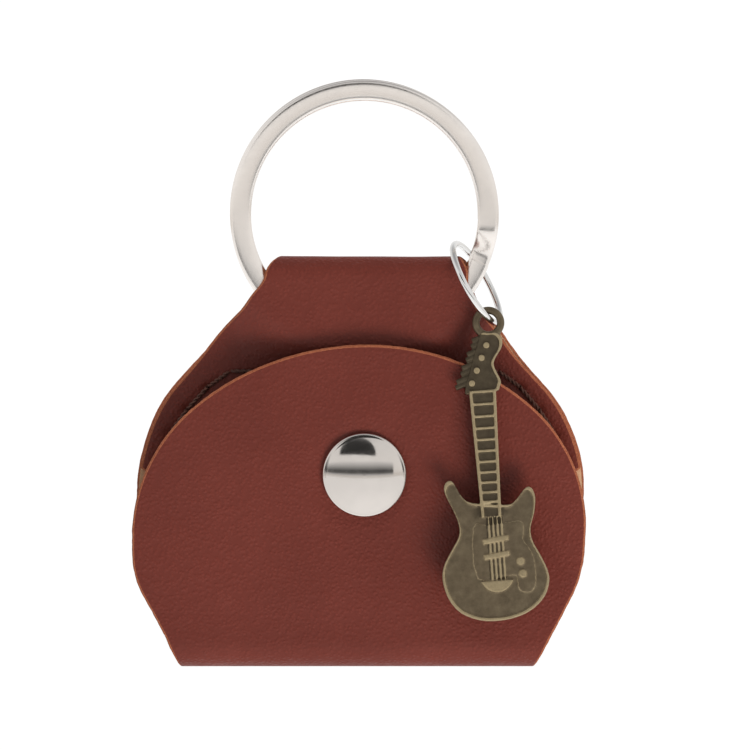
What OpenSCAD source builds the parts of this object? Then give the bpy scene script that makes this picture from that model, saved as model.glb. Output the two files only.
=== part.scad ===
// Leather guitar pick holder on a key ring, with a cast guitar charm.
// Millimetres, +Z up, front faces -Y. The origin is the centre of the key ring.

/* [Key ring] */
// Outside diameter of the split ring
ring_od = 32; // [25:0.5:38]
// Width of the flat wire, measured toward the centre
ring_band = 2.5; // [1.5:0.1:3.5]
// Thickness of one turn of the flat wire
ring_turn = 1.15; // [0.8:0.05:1.5]
// Gap between the two turns
ring_turn_gap = 0.1; // [0.05:0.05:0.3]
// Where the wire crosses from one turn to the other, below the horizontal
ring_jog_deg = 12; // [5:1:17]

/* [Leather strip] */
// Thickness of the leather
leather_t = 1.2; // [0.8:0.1:2]
// Highest point of the top fold
fold_top_z = -4.9; // [-5.2:0.1:-4.6]
// Clear width inside the ring channel
channel_gap = 2.6; // [2.4:0.1:4]
// Half width of the neck at the top fold
neck_half = 11.8; // [10:0.1:12.2]
// Half width of the holder at its widest
body_half = 26.9; // [22:0.1:32]
// Height of the line about which the neck bends
neck_z = -17.9; // [-19:0.1:-17.5]
// Lowest point of the bottom fold
fold_bottom_z = -54.1; // [-60:0.1:-48]
// Distance between the flap and the back panel, inside the bottom fold
fold_gap = 4.6; // [4:0.1:6]
// Highest point of the flap
flap_top_z = -15.3; // [-17:0.1:-15]
// Lowest point of the pocket's free edge
pocket_edge_z = -38; // [-42:0.5:-35]
// How far the pocket stands out in its middle
pocket_bulge = 0.9; // [0.5:0.1:1.5]
// How much narrower the pocket panel is than the back panel, each side
pocket_inset = 0.5; // [0:0.1:1]

/* [Stitching] */
// Diameter of the thread
thread_d = 0.5; // [0.4:0.05:0.8]
// Clearance round the thread in its holes and grooves
thread_fit = 0.05; // [0.02:0.01:0.1]
// Height of the top row of stitches
stitch_top_z = -18.7; // [-20:0.1:-18.5]

/* [Snap fastener] */
// Height of the snap's centre
snap_z = -30.7; // [-34:0.1:-27]
// Diameter of the cap
cap_d = 10; // [8:0.5:12.5]
// Height of the cap's dome
cap_h = 1.6; // [1:0.1:2.5]
// Diameter of the stud's head
stud_head_d = 4.4; // [3.5:0.1:5]
// Outside diameter of the socket
socket_d = 9; // [7:0.1:10]

/* [Jump ring] */
// Diameter of the wire
jump_wire = 0.72; // [0.6:0.02:1]
// Diameter of the ring, to the middle of the wire
jump_mean_d = 10.58; // [9:0.02:11]

/* [Guitar charm] */
// Thickness of the casting
charm_t = 1.2; // [0.8:0.1:2]
// Height of the raised rims and fittings
charm_relief = 0.25; // [0.1:0.05:0.5]
// Outside diameter of the eyelet
eyelet_od = 3.84; // [3:0.02:5]
// Thickness of the eyelet's round section
eyelet_wire = 0.9; // [0.6:0.05:1.2]
// How far the charm leans away from the flap, in degrees
charm_lean = 7.5; // [5:0.5:15]
// Sideways tilt of the hanging charm, in degrees
charm_tilt = 4; // [0:1:10]

/* [Output] */
// Which sub-part to draw

/* [Hidden] */
$fn = 64;
eps = 0.01;
ring_r = ring_od / 2;
ring_half_t = ring_turn + ring_turn_gap / 2;

// Planes of the leather, front to back
half_gap = channel_gap / 2;
back_in_y = half_gap;
back_out_y = half_gap + leather_t;
pocket_out_y = back_in_y - leather_t;
loop_top_z = fold_top_z - half_gap - leather_t;
fold_r = fold_gap / 2;
fold_y = back_in_y - fold_r;
fold_z = fold_bottom_z + fold_r + leather_t;
flap_in_y = fold_y - fold_r;
flap_out_y = flap_in_y - leather_t;
knuckle_y = back_in_y;
knuckle_slack = 0.3;

// Thread legs, their holes, and the grooves that the stitches lie in
leg_d = thread_d + 0.06;
hole_d = thread_d + 4 * thread_fit;
groove_w = thread_d + 2 * thread_fit;
bar_short = 0.1;

// Outline of the shoulders: neck, hollow fillet, straight, round corner
fillet_r = 6;
corner_r = 17.5;
slope_deg = 42;
fillet_z = -7.5;
low_arc_z = -39.5;
low_arc_r = 12.5;
low_deg = 27.5;

function arc(cx, cz, r, a0, a1, n) =
    [for (i = [0 : n]) [cx + r * cos(a0 + (a1 - a0) * i / n), cz + r * sin(a0 + (a1 - a0) * i / n)]];
function flip(p) = [for (i = [len(p) - 1 : -1 : 0]) [-p[i][0], p[i][1]]];
function both_sides(p) = concat(p, flip(p));

// Right-hand edge of the strip from the bottom fold to the widest place
low_end = [body_half - low_arc_r * (1 - cos(low_deg)), low_arc_z - low_arc_r * sin(low_deg)];
low_tip = [low_end[0] - (low_end[1] - fold_bottom_z + 1) * tan(low_deg), fold_bottom_z - 1];
lower_edge = concat([low_tip], arc(body_half - low_arc_r, low_arc_z, low_arc_r, -low_deg, 0, 6));

// Right-hand edge of the back and the pocket from the widest place to the neck
shoulder_c = [body_half - corner_r, -32.7];
corner_end_deg = slope_deg;
upper_edge = concat(
    arc(shoulder_c[0], shoulder_c[1], corner_r, 0, corner_end_deg, 10),
    arc(neck_half + fillet_r, fillet_z, fillet_r, 180 + slope_deg, 180, 8),
    [[neck_half, fold_top_z - 0.8], [neck_half - 0.3, fold_top_z - 0.2], [neck_half - 0.6, fold_top_z + 1]]);

// Outline of the flap's upper edge: wide arc between two tighter ones
flap_top_r = 31;
flap_side_r = 19.7;
flap_join_deg = 50;
flap_side_c = [(flap_top_r - flap_side_r) * cos(flap_join_deg),
               flap_top_z - flap_top_r + (flap_top_r - flap_side_r) * sin(flap_join_deg)];
flap_edge = concat(
    arc(flap_side_c[0], flap_side_c[1], flap_side_r, 0, flap_join_deg, 10),
    arc(0, flap_top_z - flap_top_r, flap_top_r, flap_join_deg, 90, 10));

// Holes of the right-hand half of the stitching arch, from the middle out
stitch_half = [[0, stitch_top_z], [4.05, stitch_top_z], [8.1, stitch_top_z], [12.15, stitch_top_z],
               [16.1, stitch_top_z], [18.7, -20.6], [21.1, -23.3], [23.1, -26.3], [24.1, -29.4]];
stitches = concat(flip([for (i = [1 : len(stitch_half) - 1]) stitch_half[i]]), stitch_half);

// Snap fastener, measured from the flap and the pocket panel
pocket_ball_r = (16.5 * 16.5 + pocket_bulge * pocket_bulge) / (2 * pocket_bulge);
pocket_ball_z = -36;
stud_seat_y = -0.55;
eyelet_seat_y = 0.35;
stud_base_t = 0.5;
stud_top_y = -2.45;
socket_face_y = -1.35;
socket_base_t = 0.35;
post_d = 1.9;
barrel_d = 2.6;

// Jump ring: centre and direction of its axis
jump_c = [13.0, -1.64, -8.09];
jump_rot = [0, 61.5, -16.4];
charm_at = [14.65, -4.4, -12.65];

// Draws a flat outline standing upright, from the plane y0 back to the plane y1
module upright(y0, y1) {
    translate([0, y1, 0])
        rotate([90, 0, 0])
            linear_extrude(height = y1 - y0)
                children();
}

// Cylinder lying along Y from y0 to y1
module rod_y(x, z, y0, y1, d) {
    translate([x, y1, z])
        rotate([90, 0, 0])
            cylinder(h = y1 - y0, d = d);
}

// Turns a profile drawn as [radius, depth] round a Y axis, depth growing toward the front
module turned(x, z) {
    translate([x, 0, z])
        rotate([90, 0, 0])
            rotate_extrude()
                children();
}

module strip_outline(inset = 0) {
    polygon(both_sides([for (p = concat(lower_edge, upper_edge)) [p[0] - inset, p[1]]]));
}

module flap_outline() {
    polygon(both_sides(concat(lower_edge, flap_edge)));
}

// Holes for the thread legs, and grooves that let the threads sit in the leather
module stitch_holes(y0, y1) {
    for (p = stitches)
        rod_y(p[0], p[1], y0, y1, hole_d);
}

module stitch_groove(y_face, dir) {
    deep = dir > 0 ? y_face - groove_w : y_face - 1;
    tall = dir > 0 ? groove_w + 1 : 1;
    for (i = [0 : len(stitches) - 2]) {
        a = stitches[i];
        b = stitches[i + 1];
        translate([a[0], deep, a[1]])
            rotate([0, -atan2(b[1] - a[1], b[0] - a[0]), 0])
                translate([bar_short, 0, -groove_w / 2])
                    cube([norm(b - a) - 2 * bar_short, tall, groove_w]);
    }
}

// One thread: a bar for each stitch and a leg down each hole to the middle of the two layers
module thread(y_bar, y_meet) {
    for (i = [0 : len(stitches) - 2]) {
        a = stitches[i];
        b = stitches[i + 1];
        translate([a[0], y_bar, a[1]])
            rotate([0, 90 - atan2(b[1] - a[1], b[0] - a[0]), 0])
                translate([0, 0, bar_short])
                    cylinder(h = norm(b - a) - 2 * bar_short, d = thread_d);
    }
    // the leg is a little thicker than the bars that end in it
    away = y_bar < y_meet ? -1 : 1;
    y_end = y_bar + away * (thread_d / 2 + 0.01);
    for (p = stitches)
        rod_y(p[0], p[1], min(y_end, y_meet), max(y_end, y_meet), leg_d);
}

module wire_section(y0) {
    c = 0.25;
    translate([ring_r - ring_band, y0])
        polygon([[c, 0], [ring_band - c, 0], [ring_band, c], [ring_band, ring_turn - c],
                 [ring_band - c, ring_turn], [c, ring_turn], [0, ring_turn - c], [0, c]]);
}

// One flat turn, lying from the plane y0 back, less the sector where the wire crosses over
module ring_turn_solid(y0) {
    difference() {
        rotate([-90, 0, 0])
            rotate_extrude()
                wire_section(y0);
        rotate([0, ring_jog_deg, 0])
            translate([ring_r - ring_band - 1, -ring_half_t - 1, -2.2])
                cube([ring_band + 2, 2 * ring_half_t + 2, 4.4]);
    }
}

module key_ring() {
    step = ring_turn + ring_turn_gap;
    color("silver") {
        ring_turn_solid(-ring_half_t);
        ring_turn_solid(ring_turn_gap / 2);
        // crossing piece: front turn below, rear turn above
        intersection() {
            rotate([-90, 0, 0])
                rotate_extrude()
                    translate([ring_r - ring_band, -ring_half_t])
                        square([ring_band, 2 * ring_half_t]);
            rotate([0, ring_jog_deg, 0])
                translate([ring_r - ring_band - 1, 0, 0])
                    rotate([90, 0, 90])
                        linear_extrude(height = ring_band + 2)
                            polygon([[-ring_half_t, -2.6], [-ring_half_t + ring_turn, -2.6],
                                     [-ring_half_t + ring_turn, -2.0], [step - ring_half_t + ring_turn, 1.4],
                                     [step - ring_half_t + ring_turn, 2.6], [step - ring_half_t, 2.6],
                                     [step - ring_half_t, 2.0], [-ring_half_t, -1.4]]);
        }
    }
}

// Cross-section of the ring channel, seen along X: both walls and the round top
module channel_section() {
    difference() {
        union() {
            translate([0, loop_top_z])
                circle(r = half_gap + leather_t);
            polygon([[-half_gap - leather_t, loop_top_z], [-half_gap - leather_t, neck_z + 1.3],
                     [knuckle_y - 2.2, neck_z], [knuckle_y - 0.8, neck_z],
                     [knuckle_y - 0.8, -ring_r - 0.9], [back_out_y, -ring_r - 0.9],
                     [back_out_y, loop_top_z]]);
        }
        translate([0, loop_top_z])
            circle(r = half_gap);
        polygon([[-half_gap, loop_top_z], [-half_gap, -ring_r - 0.35],
                 [knuckle_y - 1, -ring_r - 0.8], [half_gap, -ring_r - 1],
                 [half_gap, loop_top_z]]);
        translate([knuckle_y, neck_z])
            circle(r = leather_t + knuckle_slack);
    }
}

module ring_loop() {
    color("sienna")
        intersection() {
            translate([-30, 0, 0])
                rotate([90, 0, 90])
                    linear_extrude(height = 60)
                        channel_section();
            upright(-6, 6)
                strip_outline();
        }
}

// Rounded upper end of one panel, on which the neck bends
module knuckle(front) {
    half = leather_t + 1;
    intersection() {
        translate([-30, knuckle_y, neck_z])
            rotate([0, 90, 0])
                cylinder(h = 60, r = leather_t);
        translate([-30, front ? knuckle_y - half : knuckle_y, neck_z - eps])
            cube([60, half, half]);
        upright(-6, 6)
            strip_outline(front ? pocket_inset : 0);
    }
}

module back_panel() {
    color("sienna")
        difference() {
            union() {
                intersection() {
                    upright(back_in_y, back_out_y)
                        strip_outline();
                    translate([-40, -10, fold_z])
                        cube([80, 20, neck_z - fold_z]);
                }
                knuckle(false);
            }
            stitch_holes(back_in_y - 1, back_out_y + 1);
            stitch_groove(back_out_y, 1);
        }
}

module pocket_panel() {
    edge_r = (25.9 * 25.9 + 7.6 * 7.6) / (2 * 7.6);
    color("sienna")
        difference() {
            union() {
                intersection() {
                    union() {
                        upright(pocket_out_y, back_in_y)
                            strip_outline(pocket_inset);
                        // bulge of the pocket, part of a large ball
                        intersection() {
                            translate([0, back_in_y - pocket_bulge + pocket_ball_r, pocket_ball_z])
                                sphere(r = pocket_ball_r + leather_t, $fn = 240);
                            rod_y(0, pocket_ball_z, back_in_y - leather_t - pocket_bulge - 1, pocket_out_y + eps, 36);
                        }
                    }
                    rod_y(0, pocket_edge_z + edge_r, -6, 6, 2 * edge_r);
                    translate([-40, -10, -60])
                        cube([80, 20, neck_z + 60]);
                }
                knuckle(true);
            }
            translate([0, back_in_y - pocket_bulge + pocket_ball_r, pocket_ball_z])
                sphere(r = pocket_ball_r, $fn = 240);
            stitch_holes(pocket_out_y - 1, back_in_y + 1);
            stitch_groove(pocket_out_y + 0.35, -1);
            // seats pressed by the snap, and the hole for its barrel
            rod_y(0, snap_z, -3, stud_seat_y, 9.2);
            rod_y(0, snap_z, eyelet_seat_y, back_in_y - eps, 8.2);
            rod_y(0, snap_z, -3, 2, barrel_d + 0.1);
        }
}

module bottom_fold() {
    color("sienna")
        intersection() {
            difference() {
                translate([-40, fold_y, fold_z])
                    rotate([0, 90, 0])
                        cylinder(h = 80, r = fold_r + leather_t);
                translate([-41, fold_y, fold_z])
                    rotate([0, 90, 0])
                        cylinder(h = 82, r = fold_r);
                translate([-41, fold_y - 10, fold_z])
                    cube([82, 20, 10]);
            }
            upright(-8, 8)
                strip_outline();
        }
}

module front_flap() {
    color("sienna")
        difference() {
            intersection() {
                upright(flap_out_y, flap_in_y)
                    flap_outline();
                translate([-40, -10, fold_z])
                    cube([80, 20, 60]);
            }
            rod_y(0, snap_z, flap_out_y - 1, flap_in_y + 1, post_d + 0.1);
        }
}

module needle_thread() {
    color("saddlebrown")
        thread(pocket_out_y + 0.05, back_in_y);
}

module bobbin_thread() {
    color("saddlebrown")
        thread(back_out_y - thread_d / 2 - thread_fit, back_in_y);
}

// Low dome with a rolled rim, and the post that goes through the flap
module snap_cap() {
    dome_r = (cap_d * cap_d / 4 + (cap_h - 0.4) * (cap_h - 0.4)) / (2 * (cap_h - 0.4));
    color("silver") {
        intersection() {
            translate([0, flap_out_y - cap_h + dome_r, snap_z])
                sphere(r = dome_r, $fn = 240);
            rod_y(0, snap_z, flap_out_y - cap_h - 1, flap_out_y, cap_d);
        }
        rod_y(0, snap_z, flap_out_y - 0.1, flap_in_y + socket_base_t, post_d);
        // riveted end, spread inside the socket
        rod_y(0, snap_z, flap_in_y + socket_base_t, flap_in_y + socket_base_t + 0.2, post_d + 1);
    }
}

module snap_socket() {
    top = -flap_in_y;
    face = -socket_face_y;
    color("silver")
        turned(0, snap_z)
            polygon([[post_d / 2 + 0.02, top], [socket_d / 2 - 0.3, top], [socket_d / 2, top - 0.3],
                     [socket_d / 2, top - 0.55], [3.65, top - 0.8], [3.55, face + 0.3], [3.3, face],
                     [2.65, face], [2.6, face + 0.25], [2.6, face + 0.4], [2.95, face + 0.45],
                     [2.95, face + 0.95], [2.6, face + 1.0], [2.6, top - socket_base_t],
                     [post_d / 2 + 0.02, top - socket_base_t]]);
}

// Round spring wire lying in the socket's groove, open at one side
module socket_spring() {
    color("gray")
        difference() {
            translate([0, socket_face_y - 0.7, snap_z])
                rotate([90, 0, 0])
                    rotate_extrude()
                        translate([2.6, 0])
                            circle(d = 0.44);
            translate([-0.7, socket_face_y - 1.7, snap_z - 4])
                cube([1.4, 2, 3]);
        }
}

// Flange, waist and rounded head of the stud, hollow for the barrel
module snap_stud() {
    seat = -stud_seat_y;
    head = stud_head_d / 2;
    color("silver")
        turned(0, snap_z)
            polygon([[barrel_d / 2 + 0.02, seat], [4.2, seat], [4.4, seat + 0.2], [4.2, seat + stud_base_t],
                     [head - 0.1, seat + stud_base_t], [head - 0.28, seat + stud_base_t + 0.25],
                     [head - 0.25, seat + stud_base_t + 0.45], [head - 0.03, seat + stud_base_t + 0.75],
                     [head, seat + stud_base_t + 1.0], [head - 0.1, seat + stud_base_t + 1.2],
                     [head - 0.5, -stud_top_y], [barrel_d / 2 + 0.02, -stud_top_y]]);
}

// Flat eyelet behind the pocket panel; its barrel is rolled over in the stud
module stud_eyelet() {
    seat = -eyelet_seat_y;
    color("silver")
        turned(0, snap_z)
            polygon([[0.85, seat - 0.3], [1.1, seat - 0.5], [3.8, seat - 0.5], [4.0, seat - 0.3], [3.9, seat],
                     [barrel_d / 2, seat], [barrel_d / 2, -stud_top_y - 0.1], [barrel_d / 2 - 0.15, -stud_top_y],
                     [0.95, -stud_top_y], [0.85, -stud_top_y - 0.1]]);
}

module jump_ring() {
    color("silver")
        translate(jump_c)
            rotate(jump_rot)
                difference() {
                    rotate_extrude()
                        translate([jump_mean_d / 2, 0])
                            circle(d = jump_wire);
                    // butt joint where the wire's ends meet
                    rotate([0, 0, 140])
                        translate([jump_mean_d / 2 - 1, -0.04, -1])
                            cube([2, 0.08, 2]);
                }
}

// Charm drawn with its eyelet at the origin and its front toward -Y
guitar_x = -1.3;
body_pts = [[1.9, -21.3], [3.1, -20.7], [4.0, -19.7], [4.55, -19.35], [5.05, -19.7], [5.3, -20.7],
            [5.05, -22.4], [4.5, -24.1], [4.6, -25.6], [5.4, -27.3], [6.1, -29.0], [6.25, -30.4],
            [5.6, -32.1], [4.1, -33.5], [2.2, -34.3], [0, -34.6], [-2.2, -34.4], [-4.4, -33.4],
            [-5.7, -31.7], [-6.25, -29.6], [-6.0, -27.9], [-5.0, -26.2], [-4.0, -24.6], [-3.9, -23.2],
            [-4.4, -21.6], [-5.1, -20.0], [-5.35, -18.9], [-5.0, -18.2], [-4.4, -18.1], [-3.9, -18.9],
            [-3.3, -20.0], [-2.2, -20.8]];
head_pts = [[0.0, -1.3], [0.9, -1.35], [1.45, -2.1], [1.3, -3.1], [0.6, -4.1], [0.25, -4.9],
            [0.5, -5.8], [0.95, -6.9], [0.75, -7.6], [0.3, -8.05], [-2.9, -8.2], [-3.3, -7.7],
            [-2.6, -5.6], [-1.9, -3.7], [-1.2, -1.7], [-0.8, -1.2]];
guard_pts = [[-2.2, -23.7], [-0.6, -23.55], [1.4, -23.4], [3.4, -23.3], [3.65, -24.3], [3.5, -25.5], [4.1, -26.4],
             [4.65, -27.9], [4.6, -30.6], [3.9, -31.5], [2.7, -31.2], [2.5, -29.9], [2.0, -29.4], [-2.1, -29.6]];

function ring_at(p, i) = p[(i + len(p)) % len(p)];
function spline(a, b, c, d, t) =
    0.5 * (2 * b + (c - a) * t + (2 * a - 5 * b + 4 * c - d) * t * t + (3 * b - a - 3 * c + d) * t * t * t);
function smooth(p, n) =
    [for (i = [0 : len(p) - 1]) for (k = [0 : n - 1])
        spline(ring_at(p, i - 1), ring_at(p, i), ring_at(p, i + 1), ring_at(p, i + 2), k / n)];
function shrink(p, c, s) = [for (q = p) c + (q - c) * s];
function shift_x(p, d) = [for (q = p) [q[0] + d, q[1]]];

body_c = [0, -27];
fret_count = 10;
nut_z = -8;
neck_end_z = -22.6;
fret_ratio = 0.97;
fret_first = (nut_z - neck_end_z - 0.7) * (1 - fret_ratio) / (1 - pow(fret_ratio, fret_count + 1));
function neck_half_w(z) = 1.58 + (1.17 - 1.58) * (nut_z - z) / (nut_z - neck_end_z);
function fret_z(i) = nut_z - fret_first * (1 - pow(fret_ratio, i)) / (1 - fret_ratio);

// Front plane of the charm's plate; relief stands forward of it
charm_back_y = eyelet_wire / 2;
charm_front_y = charm_back_y - charm_t;

module charm_body() {
    outline = smooth(body_pts, 3);
    translate([guitar_x, 0, 0]) {
        upright(charm_front_y, charm_back_y)
            polygon(outline);
        // raised rim
        upright(charm_front_y - charm_relief, charm_front_y + eps)
            difference() {
                polygon(outline);
                polygon(shrink(outline, body_c, 0.95));
            }
        // pick guard
        upright(charm_front_y - 0.15, charm_front_y + eps)
            polygon(smooth(guard_pts, 3));
        // pickups
        for (z = [-25.25, -27.05])
            translate([0.3, charm_front_y - 0.4, z])
                rotate([0, -7, 0])
                    translate([-1.5, 0, -0.28])
                        cube([3, 0.5, 0.56]);
        // strings between the neck and the tailpiece
        for (i = [0 : 3])
            translate([-0.45 + i * 0.5, charm_front_y - 0.28, -29.9])
                cube([0.14, 0.3, 7.4]);
        // half-moon tailpiece
        intersection() {
            rod_y(0.15, -29.3, charm_front_y - 0.4, charm_front_y + eps, 4.0);
            translate([-3, charm_front_y - 1, -31.5])
                cube([6, 3, 1.5]);
        }
        // control knobs
        rod_y(3.05, -27.9, charm_front_y - 0.4, charm_front_y, 0.9);
        rod_y(3.2, -29.35, charm_front_y - 0.4, charm_front_y, 0.9);
    }
}

module charm_neck() {
    w0 = neck_half_w(nut_z);
    w1 = neck_half_w(neck_end_z);
    translate([guitar_x, 0, 0]) {
        upright(charm_front_y - 0.1, charm_back_y)
            polygon([[-w0, nut_z + 0.2], [w0, nut_z + 0.2], [w1, neck_end_z], [-w1, neck_end_z]]);
        // raised edges of the fingerboard
        for (s = [-1, 1])
            upright(charm_front_y - 0.4, charm_front_y)
                polygon([[s * w0, nut_z], [s * (w0 - 0.36), nut_z], [s * (w1 - 0.36), neck_end_z], [s * w1, neck_end_z]]);
        // frets and the nut
        for (i = [0 : fret_count])
            translate([-neck_half_w(fret_z(i)) + 0.1, charm_front_y - 0.34, fret_z(i) - 0.14])
                cube([2 * neck_half_w(fret_z(i)) - 0.2, 0.4, 0.28]);
    }
}

module charm_head() {
    outline = smooth(head_pts, 3);
    upright(charm_front_y, charm_back_y)
        polygon(outline);
    upright(charm_front_y - charm_relief, charm_front_y + eps)
        intersection() {
            difference() {
                polygon(outline);
                polygon(shift_x(shrink(outline, [-1, -4.8], 0.94), -0.25));
            }
            translate([-1.3, -8.6])
                square([4, 8]);
        }
    // tuner posts and ribbed pegs down the slanted edge
    for (i = [0 : 3]) {
        rod_y(-0.45 - 0.67 * i, -2.7 - 1.43 * i, charm_front_y - 0.3, charm_front_y, 0.75);
        for (k = [0, 1])
            translate([-1.75 - 0.72 * i - 0.17 * k, charm_front_y + 0.2, -1.95 - 1.55 * i - 0.66 * k])
                rotate([0, 72, 0])
                    translate([0, 0.3, -0.35])
                        cylinder(h = 1.6, d = 0.62);
    }
}

module guitar_charm() {
    color("darkgoldenrod")
        translate(charm_at)
            rotate([-charm_lean, 0, 0])
                rotate([0, -charm_tilt, 0]) {
                    rotate([90, 0, 0])
                        rotate_extrude()
                            translate([(eyelet_od - eyelet_wire) / 2, 0])
                                circle(d = eyelet_wire);
                    charm_head();
                    charm_neck();
                    charm_body();
                }
}

key_ring();
ring_loop();
back_panel();
pocket_panel();
bottom_fold();
front_flap();
needle_thread();
bobbin_thread();
snap_cap();
snap_socket();
socket_spring();
snap_stud();
stud_eyelet();
jump_ring();
guitar_charm();
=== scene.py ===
import bpy
import math
import numpy as np
from mathutils import Matrix, Vector, noise


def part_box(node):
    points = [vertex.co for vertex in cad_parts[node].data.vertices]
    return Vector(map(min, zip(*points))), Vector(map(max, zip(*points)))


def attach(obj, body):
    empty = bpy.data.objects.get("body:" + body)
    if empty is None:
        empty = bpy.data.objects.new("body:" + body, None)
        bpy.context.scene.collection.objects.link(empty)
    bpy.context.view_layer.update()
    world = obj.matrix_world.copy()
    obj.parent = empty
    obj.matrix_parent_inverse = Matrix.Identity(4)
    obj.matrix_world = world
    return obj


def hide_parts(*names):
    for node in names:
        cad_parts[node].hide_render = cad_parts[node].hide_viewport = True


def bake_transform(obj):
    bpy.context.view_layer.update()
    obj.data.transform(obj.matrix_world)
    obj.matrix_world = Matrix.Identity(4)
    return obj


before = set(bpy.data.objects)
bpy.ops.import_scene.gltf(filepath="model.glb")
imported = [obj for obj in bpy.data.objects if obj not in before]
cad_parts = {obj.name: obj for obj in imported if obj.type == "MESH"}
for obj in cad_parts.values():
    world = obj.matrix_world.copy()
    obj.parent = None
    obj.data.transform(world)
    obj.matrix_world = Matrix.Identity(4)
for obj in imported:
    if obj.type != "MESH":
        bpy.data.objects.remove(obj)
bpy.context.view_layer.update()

MM = 0.001

# ---------------------------------------------------------------- sizes, in mm, read from the frame
def box_mm(node):
    lo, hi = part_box(node)
    return np.array(lo) / MM, np.array(hi) / MM


_, loop_hi = box_mm("ring_loop")
_, back_hi = box_mm("back_panel")
flap_lo, flap_hi = box_mm("front_flap")
fold_lo, fold_hi = box_mm("bottom_fold")
_, ring_hi = box_mm("key_ring")
cap_lo, cap_hi = box_mm("snap_cap")

CHANNEL_HALF = 1.3                              # half of the clear width inside the ring channel
LEATHER = back_hi[1] - CHANNEL_HALF             # thickness of the leather
HALF = LEATHER / 2
BACK_Y = back_hi[1] - HALF                      # middle planes of the leather
FLAP_Y = flap_lo[1] + HALF
POCKET_Y = back_hi[1] - LEATHER - HALF - 0.02   # the pocket panel lies against the back panel
TOP_R = BACK_Y
TOP_Z = loop_hi[2] - HALF - TOP_R
FOLD_Z = fold_hi[2]
FOLD_Y = (BACK_Y + FLAP_Y) / 2
FOLD_R = (BACK_Y - FLAP_Y) / 2
BODY_HALF = back_hi[0]
FLAP_TOP = flap_hi[2]
NECK_HALF = 11.8
SNAP_Z = (cap_lo[2] + cap_hi[2]) / 2
POCKET_INSET = 0.3                              # how much narrower the pocket panel is, each side
ROUND = 0.26                                    # rounding of the raw edges
EDGE_ROUGHNESS, EDGE_GRAIN = 0.22, 1 / 1.7      # share of the rounding, and size in mm


def ease(t):
    t = np.clip(t, 0, 1)
    return t * t * (3 - 2 * t)


def arc(cx, cz, r, a0, a1, n):
    a = np.radians(np.linspace(a0, a1, n + 1))
    return np.stack([cx + r * np.cos(a), cz + r * np.sin(a)], 1)


# Right-hand outline: lower corner arc, shoulder arc, straight, hollow fillet and neck
LOW_R, LOW_DEG, LOW_Z = 12.5, 27.5, -39.5
CORNER_R, CORNER_Z, SLOPE = 17.5, -32.7, 42.0
FILLET_R, FILLET_Z = 6.0, -7.5
low_end = arc(BODY_HALF - LOW_R, LOW_Z, LOW_R, -LOW_DEG, -LOW_DEG, 1)[0]
TIP_Z = fold_lo[2] - 1
low_tip = [low_end[0] - (low_end[1] - TIP_Z) * math.tan(math.radians(LOW_DEG)), TIP_Z]
LOWER = np.vstack([[low_tip], arc(BODY_HALF - LOW_R, LOW_Z, LOW_R, -LOW_DEG, 0, 12)])
UPPER = np.vstack([arc(BODY_HALF - CORNER_R, CORNER_Z, CORNER_R, 0, SLOPE, 24),
                   arc(NECK_HALF + FILLET_R, FILLET_Z, FILLET_R, 180 + SLOPE, 180, 14),
                   [[NECK_HALF - 0.05, -5.7], [NECK_HALF - 0.25, -5.0]]])
STRIP = np.vstack([LOWER, UPPER])

# Right-hand outline of the flap: a wide arc on top between two tighter ones
FLAP_R, SIDE_R, JOIN = 31.0, 19.7, 50.0
side_c = [(FLAP_R - SIDE_R) * math.cos(math.radians(JOIN)),
          FLAP_TOP - FLAP_R + (FLAP_R - SIDE_R) * math.sin(math.radians(JOIN))]
FLAP_EDGE = np.vstack([LOWER, arc(side_c[0], side_c[1], SIDE_R, 0, JOIN, 40)[1:],
                       arc(0, FLAP_TOP - FLAP_R, FLAP_R, JOIN, 90, 60)[1:]])


def half_width(z):
    return np.interp(z, STRIP[:, 1], STRIP[:, 0])


def lean(x, z):
    """The strip was folded a little out of square: its lower end lies further left."""
    return x + 0.40 + (z + 6.0) * 0.0335 + 0.3 * ease((-42.0 - z) / 8.0)


# ---------------------------------------------------------------- path of the strip in the YZ plane
def make_path():
    z = np.arange(-40.0, TOP_Z, 0.1)
    pts = [np.stack([np.full_like(z, -TOP_R), z], 1)]
    a = np.radians(np.linspace(180, 0, 61))
    pts.append(np.stack([TOP_R * np.cos(a), TOP_Z + TOP_R * np.sin(a)], 1))
    z = np.arange(TOP_Z - 0.1, FOLD_Z, -0.1)
    pts.append(np.stack([np.full_like(z, BACK_Y), z], 1))
    a = np.radians(np.linspace(0, -180, 91))
    pts.append(np.stack([FOLD_Y + FOLD_R * np.cos(a), FOLD_Z + FOLD_R * np.sin(a)], 1))
    z = np.arange(FOLD_Z + 0.1, -10.0, 0.1)
    pts.append(np.stack([np.full_like(z, FLAP_Y), z], 1))
    p = np.vstack(pts)
    s = np.concatenate([[0], np.cumsum(np.linalg.norm(np.diff(p, axis=0), axis=1))])
    t = np.gradient(p, s, axis=0)
    t /= np.linalg.norm(t, axis=1)[:, None]
    return s, p, t


PATH_S, PATH_P, PATH_T = make_path()


def s_near(y, z):
    """Distance along the strip of the path's point nearest to (y, z)."""
    return float(PATH_S[np.argmin((PATH_P[:, 0] - y) ** 2 + (PATH_P[:, 1] - z) ** 2)])


S_NECK = s_near(-TOP_R, -18.4)
S_TOP = s_near(0, TOP_Z + TOP_R)
S_BACK = s_near(BACK_Y, TOP_Z)
S_CUT = s_near(BACK_Y, -42.0)
S_BOTTOM = s_near(FOLD_Y, FOLD_Z - FOLD_R)
S_FLAP = s_near(FLAP_Y, FOLD_Z)
S_ZERO = float(PATH_P[0, 1])                    # z where s is 0

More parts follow.
